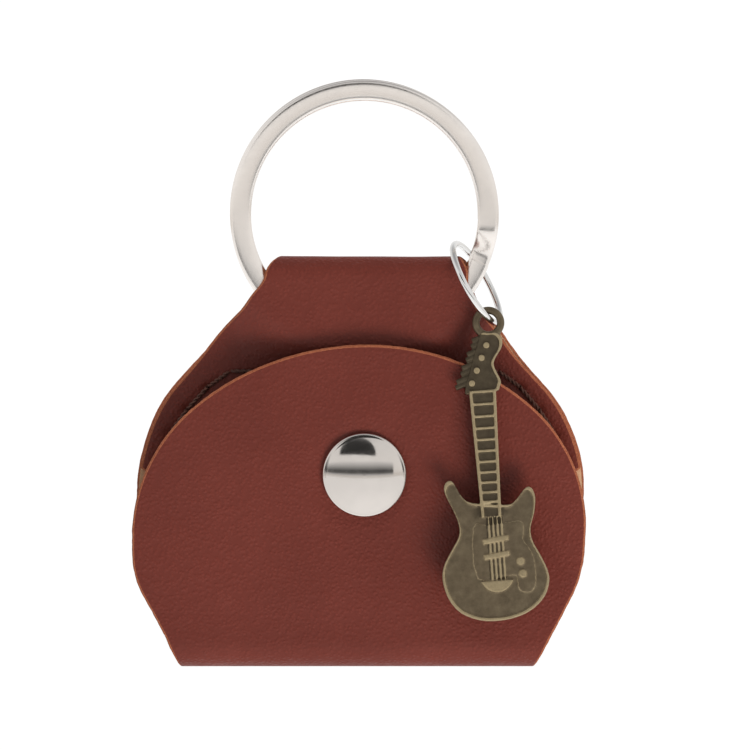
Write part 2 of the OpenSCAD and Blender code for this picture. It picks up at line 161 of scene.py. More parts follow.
# ---------------------------------------------------------------- stitching arch
STITCH_HALF = [[0, -18.7], [4.05, -18.7], [8.1, -18.7], [12.15, -18.7], [16.1, -18.7],
               [18.7, -20.6], [21.1, -23.3], [23.1, -26.3], [24.1, -29.4]]
STITCHES = np.array([[-x, z] for x, z in STITCH_HALF[:0:-1]] + STITCH_HALF, float)


SEAM_DEPTH, SEAM_W, HOLE_DEPTH, HOLE_R = 0.16, 0.55, 0.28, 0.5
FAR = 9.0                                       # further than any dip reaches


def stitch_dip(x, z):
    """Depth pressed into the leather by the thread, in mm."""
    p = np.stack([x, z], -1)
    line = np.full(x.shape, FAR)
    hole = np.full(x.shape, FAR)
    for a, b in zip(STITCHES[:-1], STITCHES[1:]):
        t = np.clip(((p - a) @ (b - a)) / ((b - a) @ (b - a)), 0, 1)
        line = np.minimum(line, np.linalg.norm(p - (a + t[..., None] * (b - a)), axis=-1))
    for a in STITCHES:
        hole = np.minimum(hole, np.linalg.norm(p - a, axis=-1))
    return SEAM_DEPTH * np.exp(-(line / SEAM_W) ** 2) + HOLE_DEPTH * np.exp(-(hole / HOLE_R) ** 2)


# How the leather departs from flat, symmetric walls, in mm
LEFT_FULLER, RIGHT_NARROWER = 1.3, 0.35         # the two shoulders
RING_CLEAR, DRAPE = 0.05, 6.5                   # the front wall sinks over DRAPE, off the ring
POCKET_BULGE, BULGE_R, BULGE_Z = 0.9, 16.5, -36.0
SNAP_PRESS, PRESS_R, PRESS_W = 0.22, 4.6, 1.3   # groove pressed in round the snap
FLAP_PILLOW, PILLOW_R, PILLOW_W = 0.16, 13.0, 8.0
FLAP_EDGE_IN = 0.25
WIDE_WAVE, NARROW_WAVE = 0.16, 0.035
NECK_WAVE, POCKET_WAVE = 0.7, 0.3               # shares of the waves there
BACK_SKEW, FRONT_SKEW = 0.45, 0.12              # the neck's two walls are shifted to either side


def soft_noise(x, z, size, seed):
    flat = np.array([noise.noise(Vector((a / size, b / size, seed)))
                     for a, b in zip(np.ravel(x), np.ravel(z))])
    return flat.reshape(np.shape(x))


def shoulder_shift(x, z):
    """The left shoulder stands out further than the right one, in mm toward -X."""
    side = x / half_width(z)
    left = LEFT_FULLER * ease((-7.0 - z) / 3.2) * ease((z + 29.0) / 15.0) * ease((-side - 0.5) / 0.5)
    right = RIGHT_NARROWER * ease((-12.0 - z) / 5.0) * ease((z + 34.0) / 10.0) * ease((side - 0.5) / 0.5)
    return left + right


def strip_point(x, s, t):
    """Maps flat strip coordinates to space: x across, s along, t through the thickness, grain side up."""
    y = np.interp(s, PATH_S, PATH_P[:, 0])
    z = np.interp(s, PATH_S, PATH_P[:, 1])
    ty = np.interp(s, PATH_S, PATH_T[:, 0])
    tz = np.interp(s, PATH_S, PATH_T[:, 1])
    above_fold = ease((S_BOTTOM - s) / 3.0)
    x = x - shoulder_shift(x, z) * above_fold
    # how much each part of the strip counts here, from 0 to 1
    front = ease((S_TOP - s) / 1.5)
    pocket = ease((S_NECK - s) / 2.0)
    flap = ease((s - S_FLAP) / 6.0)
    back = ease((s - S_BACK) / 2.0) * above_fold
    neck = ease((s - S_NECK) / 2) * ease((S_BACK - s) / 3)
    grain_side = np.clip(t / HALF, 0, 1)
    # the front wall stands out over the ring and sinks to the pocket panel's plane round it
    over_ring = ease(1 - (np.hypot(x, z) - ring_hi[0] - RING_CLEAR) / DRAPE)
    tuck = (POCKET_Y + TOP_R) * (1 - over_ring) * front
    # the pocket stands out in its middle; the flap is pressed in round the snap and at its upper edge
    bulge = POCKET_BULGE * np.clip(1 - (np.hypot(x, z - BULGE_Z) / BULGE_R) ** 2, 0, 1) * pocket
    r_snap = np.hypot(x, z - SNAP_Z)
    press = SNAP_PRESS * np.exp(-((r_snap - PRESS_R) / PRESS_W) ** 2)
    pillow = FLAP_PILLOW * np.exp(-((r_snap - PILLOW_R) / PILLOW_W) ** 2) - press
    edge = FLAP_EDGE_IN * ease((z + 25) / 9) * flap
    off = t + bulge + flap * pillow - edge - tuck
    dip = stitch_dip(x, z) * np.maximum(pocket, back * ease((z + 48) / 4))
    off -= np.where(t > -HALF * 0.5, dip, 0) * grain_side
    wave = WIDE_WAVE * soft_noise(x, s, size=11.0, seed=3.1)
    wave += NARROW_WAVE * soft_noise(x, s, size=4.0, seed=8.7)
    off += wave * np.maximum(neck * NECK_WAVE, flap)
    off += wave * POCKET_WAVE * pocket * grain_side
    # the back wall of the neck shows to the right of the front wall
    up_neck = ease((z + 20) / 8)
    skew = BACK_SKEW * up_neck * ease((s - S_TOP + 3) / 6) - FRONT_SKEW * up_neck * front
    return np.stack([lean(x, z) + skew, y - tz * off, z + ty * off], -1) * MM


# ---------------------------------------------------------------- mesh helpers
def finish_mesh(name, verts, faces, mats, index, sharp):
    """Makes the object; index gives each face's material, and edges sharper than the angle stay sharp."""
    mesh = bpy.data.meshes.new(name)
    mesh.from_pydata([tuple(v) for v in verts], [], faces)
    for m in mats:
        mesh.materials.append(m)
    if index is not None:
        mesh.polygons.foreach_set("material_index", np.array(index, np.int32))
    mesh.polygons.foreach_set("use_smooth", np.ones(len(mesh.polygons), bool))
    mesh.validate()
    mesh.update()
    mesh.set_sharp_from_angle(angle=math.radians(sharp))
    obj = bpy.data.objects.new(name, mesh)
    bpy.context.scene.collection.objects.link(obj)
    return obj


def edge_profile():
    """Steps round a raw edge from the grain face to the flesh face: outward offset and height."""
    out = []
    for a in (30, 60, 90):
        r = math.radians(a)
        out.append((ROUND * math.sin(r), HALF - ROUND * (1 - math.cos(r))))
    out += [(ROUND, 0.12), (ROUND, -0.12)]
    for a in (90, 60, 30):
        r = math.radians(a)
        out.append((ROUND * math.sin(r), -HALF + ROUND * (1 - math.cos(r))))
    return out


def strip_piece(name, grid, free, mats):
    """Closed leather solid on a grid of flat (x, s) points.

    free names its raw sides, out of left, right, start and end.
    """
    nv, nu = grid.shape[:2]
    top = strip_point(grid[..., 0], grid[..., 1], np.full((nv, nu), HALF))
    low = strip_point(grid[..., 0], grid[..., 1], np.full((nv, nu), -HALF))
    verts = [top.reshape(-1, 3), low.reshape(-1, 3)]
    n = nv * nu
    faces, index = [], []

    def at(i, j):
        return i * nu + j

    for i in range(nv - 1):
        for j in range(nu - 1):
            q = [at(i, j), at(i, j + 1), at(i + 1, j + 1), at(i + 1, j)]
            faces.append(q)
            index.append(0)
            faces.append([n + k for k in q[::-1]])
            index.append(2)
    ring = [(0, j, "start") for j in range(nu - 1)]
    ring += [(i, nu - 1, "right") for i in range(nv - 1)]
    ring += [(nv - 1, j, "end") for j in range(nu - 1, 0, -1)]
    ring += [(i, 0, "left") for i in range(nv - 1, 0, -1)]
    m = len(ring)
    flat = np.array([grid[i, j] for i, j, _ in ring])
    sides = [s for _, _, s in ring]                 # side of the edge that leaves each vertex
    step = np.roll(flat, -1, 0) - flat
    out = np.stack([step[:, 1], -step[:, 0]], 1)
    out /= np.linalg.norm(out, axis=1)[:, None] + 1e-12
    weight = np.array([1.0 if s in free else 0.0 for s in sides])
    normal = out * weight[:, None] + np.roll(out * weight[:, None], 1, 0)
    length = np.linalg.norm(normal, axis=1)
    normal = np.where(length[:, None] > 1e-6, normal / (length[:, None] + 1e-12), 0)
    prof = edge_profile()
    levels = []
    for k, (o, t) in enumerate(prof):
        rough = 1 + EDGE_ROUGHNESS * soft_noise(flat[:, 0], flat[:, 1], EDGE_GRAIN, 5.0 + k * 0.6)
        p = flat + normal * (o * rough)[:, None]
        levels.append(strip_point(p[:, 0], p[:, 1], np.full(m, t)))
    base = 2 * n
    verts += levels

    def ring_index(k, i):
        i %= m
        if k < 0:
            return at(ring[i][0], ring[i][1])
        if k >= len(prof):
            return n + at(ring[i][0], ring[i][1])
        return base + k * m + i

    for i in range(m):
        for k in range(-1, len(prof)):
            faces.append([ring_index(k, i + 1), ring_index(k, i),
                          ring_index(k + 1, i), ring_index(k + 1, i + 1)])
            index.append(1 if sides[i] in free else 2)
    return finish_mesh(name, np.vstack(verts), faces, mats, index, 60)


def lathe(name, profile, mats, closed=True):
    """Turns (radius, y) points round the snap's axis."""
    segs = 96
    verts, faces = [], []
    count = len(profile)
    for k in range(segs):
        a = 2 * math.pi * k / segs
        for r, y in profile:
            verts.append((r * math.cos(a) * MM, y * MM, (SNAP_Z + r * math.sin(a)) * MM))
    for k in range(segs):
        for i in range(count if closed else count - 1):
            j = (i + 1) % count
            a, b = k * count, ((k + 1) % segs) * count
            faces.append([a + i, b + i, b + j, a + j])
    return finish_mesh(name, verts, faces, mats, None, 35)


def round_section(radius, sides):
    ang = np.linspace(0, 2 * math.pi, sides, endpoint=False)
    return np.stack([np.cos(ang), np.sin(ang)], 1) * radius


def tube(name, points, section, mats, up=None):
    """Sweeps a section along points in mm and closes both ends; up gives the section's second axis."""
    p = np.array(points, float)
    n = len(p)
    t = np.gradient(p, axis=0)
    t /= np.linalg.norm(t, axis=1)[:, None]
    if up is None:
        a = np.array([0, 0, 1.0]) if abs(t[0][2]) < 0.9 else np.array([1.0, 0, 0])
        ups = []
        for i in range(n):
            a = a - t[i] * (a @ t[i])
            a /= np.linalg.norm(a)
            ups.append(a)
        ups = np.array(ups)
    else:
        ups = np.array(up, float)
        ups = ups - t * np.sum(ups * t, 1)[:, None]
        ups /= np.linalg.norm(ups, axis=1)[:, None]
    side = np.cross(t, ups)
    m = len(section)
    rings = p[:, None] + side[:, None] * section[None, :, :1] + ups[:, None] * section[None, :, 1:]
    faces = []
    for i in range(n - 1):
        for k in range(m):
            a, b = i * m, (i + 1) * m
            faces.append([a + k, a + (k + 1) % m, b + (k + 1) % m, b + k])
    faces.append(list(range(m))[::-1])
    faces.append([(n - 1) * m + k for k in range(m)])
    return finish_mesh(name, rings.reshape(-1, 3) * MM, faces, mats, None, 50)


# ---------------------------------------------------------------- materials
class Nodes:
    """A material's node tree, with short calls for the nodes used here."""

    def __init__(self, name):
        self.mat = bpy.data.materials.new(name)
        self.mat.use_nodes = True
        self.tree = self.mat.node_tree
        self.bsdf = next(n for n in self.tree.nodes if n.type == "BSDF_PRINCIPLED")
        coord = self.tree.nodes.new("ShaderNodeTexCoord")
        scale = self.add("ShaderNodeVectorMath", operation="SCALE")
        self.link(coord.outputs["Object"], scale.inputs[0])
        scale.inputs["Scale"].default_value = 1000.0
        self.mm = scale.outputs[0]

    def add(self, kind, **props):
        node = self.tree.nodes.new(kind)
        for k, v in props.items():
            setattr(node, k, v)
        return node

    def link(self, a, b):
        self.tree.links.new(a, b)

    def stretched(self, scale):
        node = self.add("ShaderNodeMapping")
        self.link(self.mm, node.inputs["Vector"])
        node.inputs["Scale"].default_value = scale
        return node.outputs[0]

    def noise(self, scale, detail=4.0, rough=0.5, vec=None, distort=0.0):
        node = self.add("ShaderNodeTexNoise")
        self.link(vec or self.mm, node.inputs["Vector"])
        node.inputs["Scale"].default_value = scale
        node.inputs["Detail"].default_value = detail
        node.inputs["Roughness"].default_value = rough
        node.inputs["Distortion"].default_value = distort
        return node.outputs["Fac"]

    def cells(self, scale, smooth=0.6, vec=None, feature="SMOOTH_F1"):
        node = self.add("ShaderNodeTexVoronoi", feature=feature)
        self.link(vec or self.mm, node.inputs["Vector"])
        node.inputs["Scale"].default_value = scale
        if feature == "SMOOTH_F1":
            node.inputs["Smoothness"].default_value = smooth
        return node.outputs["Distance"]

    def ramp(self, fac, stops):
        node = self.add("ShaderNodeValToRGB")
        self.link(fac, node.inputs["Fac"])
        el = node.color_ramp.elements
        while len(el) < len(stops):
            el.new(0.5)
        for e, (pos, col) in zip(el, stops):
            e.position = pos
            e.color = (*col, 1.0) if isinstance(col, (tuple, list)) else (col, col, col, 1.0)
        return node.outputs["Color"]

    def mix(self, fac, a, b, mode="MIX"):
        node = self.add("ShaderNodeMix", data_type="RGBA", blend_type=mode)
        for sock, v in ((node.inputs[0], fac), (node.inputs[6], a), (node.inputs[7], b)):
            if isinstance(v, (int, float)):
                sock.default_value = v
            elif isinstance(v, (tuple, list)):
                sock.default_value = (*v, 1.0)
            else:
                self.link(v, sock)
        return node.outputs[2]

    def math(self, op, a, b=0.0, clamp=False):
        node = self.add("ShaderNodeMath", operation=op)
        node.use_clamp = clamp
        for sock, v in ((node.inputs[0], a), (node.inputs[1], b)):
            if isinstance(v, (int, float)):
                sock.default_value = v
            else:
                self.link(v, sock)
        return node.outputs[0]

    def bump(self, height, distance_mm, strength=1.0, under=None):
        node = self.add("ShaderNodeBump")
        self.link(height, node.inputs["Height"])
        node.inputs["Distance"].default_value = distance_mm * MM
        node.inputs["Strength"].default_value = strength
        if under is not None:
            self.link(under, node.inputs["Normal"])
        return node.outputs[0]

    def out(self, color=None, rough=None, normal=None, **fixed):
        for sock, v in (("Base Color", color), ("Roughness", rough), ("Normal", normal)):
            if v is None:
                continue
            if isinstance(v, (int, float)):
                self.bsdf.inputs[sock].default_value = v
            elif isinstance(v, (tuple, list)):
                self.bsdf.inputs[sock].default_value = (*v, 1.0)
            else:
                self.link(v, self.bsdf.inputs[sock])
        for k, v in fixed.items():
            self.bsdf.inputs[k.replace("_", " ")].default_value = v
        return self.mat


def grain_material():
    """Fine pebbled grain: cells with shallow creases darkened by painted shade, under broad and fine
    changes of tone.
    """
    red, bright_red = (0.126, 0.0225, 0.0142), (0.148, 0.0275, 0.0178)
    # The second colour of this pair is painted shade for the creases between the pebbles
    shade, crevice_shade = (0.104, 0.0195, 0.0128), (0.068, 0.0130, 0.0088)
    m = Nodes("leather_grain")
    big = m.noise(0.09, 3, 0.5)
    mid = m.noise(0.8, 4, 0.6)
    tone = m.mix(m.ramp(big, [(0.35, 0.0), (0.65, 1.0)]), red, bright_red)
    tone = m.mix(m.math("MULTIPLY", mid, 0.35), tone, shade)
    warped = m.add("ShaderNodeMix", data_type="VECTOR")
    warped.inputs[0].default_value = 0.10
    m.link(m.mm, warped.inputs[4])
    jitter = m.add("ShaderNodeTexNoise")
    m.link(m.mm, jitter.inputs["Vector"])
    jitter.inputs["Scale"].default_value = 1.3
    m.link(jitter.outputs["Color"], warped.inputs[5])
    pebble = m.cells(2.7, 0.5, warped.outputs[1])
    crease = m.ramp(pebble, [(0.10, 1.0), (0.60, 0.0)])
    # Painted shade: the borders between pebble cells are mixed toward the darker crease colour
    tone = m.mix(m.math("MULTIPLY", m.math("SUBTRACT", 1.0, crease), 0.22), tone, crevice_shade)
    fine = m.noise(8.0, 3, 0.6)
    n = m.bump(crease, 0.065, 0.90)
    n = m.bump(fine, 0.014, 0.35, n)
    n = m.bump(big, 0.4, 0.25, n)
    rough = m.ramp(mid, [(0.3, 0.48), (0.7, 0.60)])
    return m.out(tone, rough, n, Specular_IOR_Level=0.24)


def edge_material():
    """Cut edge: fibres of a lighter orange brown, in layers along the sheet."""
    dark, middle, light = (0.15, 0.040, 0.020), (0.29, 0.088, 0.042), (0.44, 0.165, 0.085)
    m = Nodes("leather_raw_edge")
    fibre = m.noise(5.0, 5, 0.7, distort=0.6)
    layer = m.noise(1.0, 3, 0.6, m.stretched((1.2, 6.0, 1.2)))
    tone = m.ramp(fibre, [(0.28, dark), (0.5, middle), (0.75, light)])
    tone = m.mix(m.math("MULTIPLY", layer, 0.35), tone, (0.36, 0.125, 0.065))
    n = m.bump(fibre, 0.10, 0.7)
    return m.out(tone, 0.85, n, Specular_IOR_Level=0.2)


def flesh_material():
    """Inner side: pale tan with short raised fibres."""
    m = Nodes("leather_flesh")
    cloud = m.noise(0.35, 4, 0.6)
    fibre = m.noise(1.0, 5, 0.7, m.stretched((5.0, 5.0, 2.2)), 1.2)
    tone = m.ramp(cloud, [(0.3, (0.40, 0.215, 0.115)), (0.7, (0.53, 0.31, 0.18))])
    tone = m.mix(m.ramp(fibre, [(0.35, 0.0), (0.75, 0.6)]), tone, (0.70, 0.48, 0.31))
    n = m.bump(fibre, 0.12, 0.6)
    return m.out(tone, 0.92, n, Specular_IOR_Level=0.15, Sheen_Weight=0.25)


def thread_material():
    m = Nodes("waxed_thread")
    fibre = m.noise(14.0, 3, 0.6)
    tone = m.ramp(fibre, [(0.3, (0.050, 0.019, 0.013)), (0.7, (0.115, 0.045, 0.030))])
    return m.out(tone, 0.55, m.bump(fibre, 0.02, 0.5), Specular_IOR_Level=0.35)


def metal_material(name, color, rough_lo, rough_hi, scratch=0.006, brushed=(1, 1, 1)):
    m = Nodes(name)
    stain = m.noise(0.22, 3, 0.5)
    fine = m.noise(1.6, 3, 0.5, m.stretched(brushed))
    tone = m.mix(m.ramp(stain, [(0.3, 0.0), (0.75, 1.0)]), color, tuple(c * 0.90 for c in color))
    rough = m.ramp(fine, [(0.3, rough_lo), (0.7, rough_hi)])
    return m.out(tone, rough, m.bump(fine, scratch, 0.4), Metallic=1.0)


def bronze_material():
    """Patina lies in the recesses and the high rims are worn; both come with the mesh as attributes."""
    m = Nodes("antique_bronze")
    high = m.add("ShaderNodeAttribute", attribute_name="worn").outputs["Fac"]
    deep = m.add("ShaderNodeAttribute", attribute_name="patina").outputs["Fac"]
    cloud = m.noise(0.9, 5, 0.65)
    fine = m.noise(6.0, 4, 0.6)
    dull, middle, clear = (0.135, 0.103, 0.064), (0.195, 0.151, 0.094), (0.265, 0.208, 0.128)
    base = m.ramp(cloud, [(0.28, dull), (0.55, middle), (0.8, clear)])
    tone = m.mix(m.math("MULTIPLY", deep, 0.92), base, (0.022, 0.017, 0.012))
    worn = m.math("MULTIPLY", high, m.ramp(fine, [(0.25, 0.55), (0.6, 1.0)]), True)
    tone = m.mix(worn, tone, (0.52, 0.415, 0.245))
    rough = m.ramp(fine, [(0.3, 0.38), (0.7, 0.55)])
    return m.out(tone, rough, m.bump(fine, 0.02, 0.4), Metallic=0.85)


GRAIN, EDGE, FLESH, THREAD = grain_material(), edge_material(), flesh_material(), thread_material()
LEATHERS = [GRAIN, EDGE, FLESH]
NICKEL = metal_material("satin_nickel", (0.86, 0.81, 0.765), 0.19, 0.25, 0.002)
POLISHED = metal_material("polished_nickel", (0.655, 0.61, 0.57), 0.08, 0.12, 0.002)
WIRE = metal_material("bright_wire", (0.78, 0.775, 0.76), 0.12, 0.20)
SPRING = metal_material("spring_steel", (0.52, 0.52, 0.53), 0.22, 0.34, 0.004, (1, 6, 1))
BRONZE = bronze_material()


# ---------------------------------------------------------------- the leather strip
U = np.linspace(-1, 1, 111)                     # columns of every grid, from left to right
ROW_STEP = 0.46                                 # distance between rows of the upper piece, in mm
POCKET_EDGE_HALF, POCKET_EDGE_RISE, POCKET_EDGE_Z = 25.9, 7.6, -38.0
FLAP_CORNER_Z = -27.5                           # where the flap's side turns into its arch
TOP_CORNER = 1.15                               # how much the ends of the top fold are drawn in
NECK_FULLER = 0.30


def rows(s_list, width):
    """Rows of flat points; width(s) gives the half width."""
    grid = []
    for s in s_list:
        w = width(np.full(U.shape, s))
        grid.append(np.stack([U * w, np.full(U.shape, s)], 1))
    return np.array(grid)


def z_of(s):
    return np.interp(s, PATH_S, PATH_P[:, 1])


def upper_width(s):
    z = z_of(s)
    front = POCKET_INSET * (1 - ease((s - S_TOP + 2.5) / 5.0)) * (1 - ease((z + 18) / 5.0))
    corner = TOP_CORNER * (1 - ease(np.abs(s - S_TOP) / 2.8))
    return half_width(z) - front - ROUND + NECK_FULLER * ease((z + 19) / 7.0) - corner


def pocket_grid():
    """The strip from the pocket's curved free edge, over the ring, to the cut above the bottom fold."""
    edge_r = (POCKET_EDGE_HALF ** 2 + POCKET_EDGE_RISE ** 2) / (2 * POCKET_EDGE_RISE)
    x0 = U * (POCKET_EDGE_HALF - 0.2)
    start = (POCKET_EDGE_Z + edge_r) - np.sqrt(edge_r ** 2 - x0 ** 2) + ROUND - S_ZERO
    grid = []
    for v in np.linspace(0, 1, 44)[:-1]:
        s = start + (S_NECK - start) * v
        grid.append(np.stack([U * upper_width(s), s], 1))
    for s in np.arange(S_NECK, S_CUT - 0.2, ROW_STEP):
        grid.append(np.stack([U * upper_width(np.full(U.shape, s)), np.full(U.shape, s)], 1))
    grid.append(np.stack([U * upper_width(np.full(U.shape, S_CUT)), np.full(U.shape, S_CUT)], 1))
    return np.array(grid)


def plain_width(s):
    return half_width(z_of(s)) - ROUND


def inset(points, d):
    """Moves an outline inward, drawn with its inside on the left."""
    t = np.gradient(points, axis=0)
    t /= np.linalg.norm(t, axis=1)[:, None]
    return points + np.stack([-t[:, 1], t[:, 0]], 1) * d


def resample(points, n):
    s = np.concatenate([[0], np.cumsum(np.linalg.norm(np.diff(points, axis=0), axis=1))])
    t = np.linspace(0, s[-1], n)
    return np.stack([np.interp(t, s, points[:, 0]), np.interp(t, s, points[:, 1])], 1)


def flap_grid():
    """The strip from the bottom of the fold to the flap's arched edge, filled in between its four sides."""
    # right side from the fold to the corner, then half of the arch
    dense = inset(resample(FLAP_EDGE, 900), ROUND)
    dense = dense[dense[:, 1] > FOLD_Z]
    first = np.array([[plain_width(np.array([S_FLAP]))[0], FOLD_Z]])
    dense = np.vstack([first, dense])
    dense[-1, 0] = 0.0
    off_middle = (dense[:, 0] < 10) * 99
    corner = int(np.argmin(np.abs(dense[:, 1] - FLAP_CORNER_Z) + off_middle))
    nv = 62
    right = resample(dense[:corner + 1], nv)
    half_top = resample(dense[corner:], (len(U) + 1) // 2)
    top = np.vstack([half_top * [-1, 1], half_top[::-1][1:]])
    left = right * [-1, 1]
    bottom = np.stack([U * first[0, 0], np.full(U.shape, FOLD_Z)], 1)
    u = (U + 1)[None, :, None] / 2
    v = np.linspace(0, 1, nv)[:, None, None]
    coons = ((1 - v) * bottom[None] + v * top[None] + (1 - u) * left[:, None] + u * right[:, None]
             - (1 - u) * (1 - v) * bottom[0] - u * (1 - v) * bottom[-1]
             - (1 - u) * v * top[0] - u * v * top[-1])
    coons[..., 1] = coons[..., 1] - FOLD_Z + S_FLAP
    low = []
    for s in np.linspace(S_BOTTOM, S_FLAP, 15)[:-1]:
        low.append(np.stack([U * plain_width(np.full(U.shape, s)), np.full(U.shape, s)], 1))
    return np.vstack([np.array(low), coons])


g_upper = pocket_grid()
upper = strip_piece("leather_pocket_and_back", g_upper, ("left", "right", "start"), LEATHERS)
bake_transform(upper)
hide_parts("ring_loop", "pocket_panel", "back_panel")

g_fold = rows(np.linspace(S_CUT, S_BOTTOM, 22), plain_width)
fold = strip_piece("leather_bottom_fold", g_fold, ("left", "right"), LEATHERS)
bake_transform(fold)
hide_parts("bottom_fold")

g_flap = flap_grid()
flap = strip_piece("leather_flap", g_flap, ("left", "right", "end"), LEATHERS)
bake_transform(flap)
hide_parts("front_flap")


# ---------------------------------------------------------------- stitches: two twisted plies in each
def stitch_line(a, b, y_top, y_low, n=22):
    """One stitch from hole a to hole b: up out of the leather, along it, and down again."""
    t = np.linspace(0, 1, n)
    rise = np.clip(np.minimum(t, 1 - t) / 0.13, 0, 1)
    rise = np.sqrt(1 - (1 - rise) ** 2)
    y = y_low + (y_top - y_low) * rise
    x = a[0] + (b[0] - a[0]) * (0.03 + 0.94 * t)
    z = a[1] + (b[1] - a[1]) * (0.03 + 0.94 * t)
    return np.stack([x, y, z], 1)


PLY_OFFSET, PLY_R, PLY_SIDES, PLY_TURNS = 0.115, 0.155, 8, 2.5


def thread_piece(name, node, y_top, y_low, turn):
    """All stitches on one side of the leather; turn is the direction in which the plies twist."""
    verts, faces = [], []
    shift = 0
    for a, b in zip(STITCHES[:-1], STITCHES[1:]):
        mid = stitch_line(a, b, y_top, y_low)
        mid[:, 0] = lean(mid[:, 0], mid[:, 2])
        tan = np.gradient(mid, axis=0)
        tan /= np.linalg.norm(tan, axis=1)[:, None]
        e1 = np.cross(tan, [0, 1.0, 0.02])
        e1 /= np.linalg.norm(e1, axis=1)[:, None]
        e2 = np.cross(tan, e1)
        for ply in (0, math.pi):
            ang = np.linspace(0, turn * 2 * math.pi * PLY_TURNS, len(mid)) + ply
            c = mid + PLY_OFFSET * (np.cos(ang)[:, None] * e1 + np.sin(ang)[:, None] * e2)
            k = np.linspace(0, 2 * math.pi, PLY_SIDES, endpoint=False)
            body = c[:, None] + PLY_R * (np.cos(k)[None, :, None] * e1[:, None]
                                         + np.sin(k)[None, :, None] * e2[:, None])
            body = body.reshape(-1, 3)
            verts.append(body)
            for i in range(len(mid) - 1):
                a0 = shift + i * PLY_SIDES
                b0 = a0 + PLY_SIDES
                for q in range(PLY_SIDES):
                    r = (q + 1) % PLY_SIDES
                    faces.append([a0 + q, a0 + r, b0 + r, b0 + q])
            faces.append([shift + q for q in range(PLY_SIDES)][::-1])
            faces.append([shift + (len(mid) - 1) * PLY_SIDES + q for q in range(PLY_SIDES)])
            shift += len(body)
    obj = finish_mesh(name, np.vstack(verts) * MM, faces, [THREAD], None, 60)
    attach(obj, "holder")
    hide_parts(node)


thread_piece("needle_stitches", "needle_thread", POCKET_Y - HALF - 0.10, POCKET_Y - HALF + 0.45, 1)
thread_piece("bobbin_stitches", "bobbin_thread", BACK_Y + HALF + 0.02, BACK_Y + HALF - 0.45, -1)


# ---------------------------------------------------------------- key ring: one flat wire, two turns
RING_W, RING_TURN_T = 2.5, 1.15                 # width of the wire and thickness of one turn
RING_ENDS = (-22.5, -722.0)                     # where the wire begins and ends, in degrees
CROSS_FROM, CROSS_OVER = -366.0, 13.0           # where it crosses from the front turn to the rear one
REAR_BULGE, REAR_BULGE_AT = 0.20, 125           # the rear turn stands out a little at the upper left
CORNER_POWER = 0.62                             # 1 is an oval section, smaller values are squarer


def key_ring_piece():
    mid_r = ring_hi[0] - RING_W / 2
    plane = ring_hi[1] - RING_TURN_T / 2
    deg = np.linspace(*RING_ENDS, 400)
    cross = ease((CROSS_FROM - deg) / CROSS_OVER)
    y = -plane + 2 * plane * cross
    a = np.radians(deg)
    r = mid_r + REAR_BULGE * cross * np.clip(np.cos(a - math.radians(REAR_BULGE_AT)), 0, 1) ** 1.5
    pts = np.stack([r * np.cos(a), y, r * np.sin(a)], 1)
    radial = np.stack([np.cos(a), 0 * a, np.sin(a)], 1)
    sec = []
    n = 28
    for i in range(n):
        t = 2 * math.pi * i / n
        c, s = math.cos(t), math.sin(t)
        sec.append([math.copysign(abs(c) ** CORNER_POWER, c) * RING_TURN_T / 2,
                    math.copysign(abs(s) ** CORNER_POWER, s) * RING_W / 2])
    obj = tube("split_ring", pts, np.array(sec), [NICKEL], radial)
    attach(obj, "key_ring")
    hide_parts("key_ring")


key_ring_piece()


# ---------------------------------------------------------------- snap fastener
def ride(obj, body, node):
    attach(obj, body)
    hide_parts(node)


# Profiles are (radius, y) in mm: the dome's runs from axis to axis, the others go once round
FACE = FLAP_Y - HALF
AXIS_R = 0.0001                                 # nearly on the axis, so no face closes up
SPRING_R, SPRING_WIRE_R, SPRING_Y = 2.6, 0.22, -2.05
SPRING_GAP = 17                                 # half of its opening at the bottom, in degrees
dome = [(AXIS_R, cap_lo[1])]
cap_r = (cap_hi[0] - cap_lo[0]) / 2
rise = FACE - 0.42 - cap_lo[1]
ball = (cap_r ** 2 + rise ** 2) / (2 * rise)
for r in np.linspace(0.3, cap_r - 0.35, 22):
    dome.append((float(r), cap_lo[1] + ball - math.sqrt(ball ** 2 - r ** 2)))
last_y = dome[-1][1]
for a in (15, 35, 60, 90, 125, 160):
    t = math.radians(a)
    dome.append((cap_r - 0.35 + 0.35 * math.sin(t), last_y + 0.30 - 0.30 * math.cos(t)))
dome += [(cap_r - 0.5, FACE + 0.12), (1.2, FACE + 0.12), (0.95, FACE + 0.2), (0.95, -2.95), (1.1, -2.88),
         (1.45, -2.85), (1.45, -2.75), (1.2, -2.70), (AXIS_R, -2.72)]
ride(lathe("snap_cap_dome", dome, [POLISHED], closed=False), "flap", "snap_cap")

back = FLAP_Y + HALF
socket = [(0.97, back), (4.2, back), (4.38, back + 0.05), (4.47, back + 0.15), (4.5, back + 0.30),
          (4.46, back + 0.45), (4.35, back + 0.54), (4.0, back + 0.62), (3.72, back + 0.76),
          (3.62, back + 1.0), (3.58, -1.62), (3.5, -1.45), (3.38, -1.37), (3.2, -1.35), (2.78, -1.35),
          (2.66, -1.42), (2.6, -1.55), (2.6, -1.75), (2.72, -1.79), (2.92, -1.80), (2.95, -1.88),
          (2.95, -2.22), (2.92, -2.30), (2.72, -2.32), (2.6, -2.36), (2.6, -2.90), (2.55, -2.95),
          (0.97, -2.95)]
ride(lathe("snap_socket_ring", socket, [NICKEL]), "flap", "snap_socket")

a = np.radians(np.linspace(-90 + SPRING_GAP, 270 - SPRING_GAP, 90))
spring_path = np.stack([SPRING_R * np.cos(a), np.full(len(a), SPRING_Y), SNAP_Z + SPRING_R * np.sin(a)], 1)
spring = tube("socket_spring_wire", spring_path, round_section(SPRING_WIRE_R, 14), [SPRING])
ride(spring, "flap", "socket_spring")

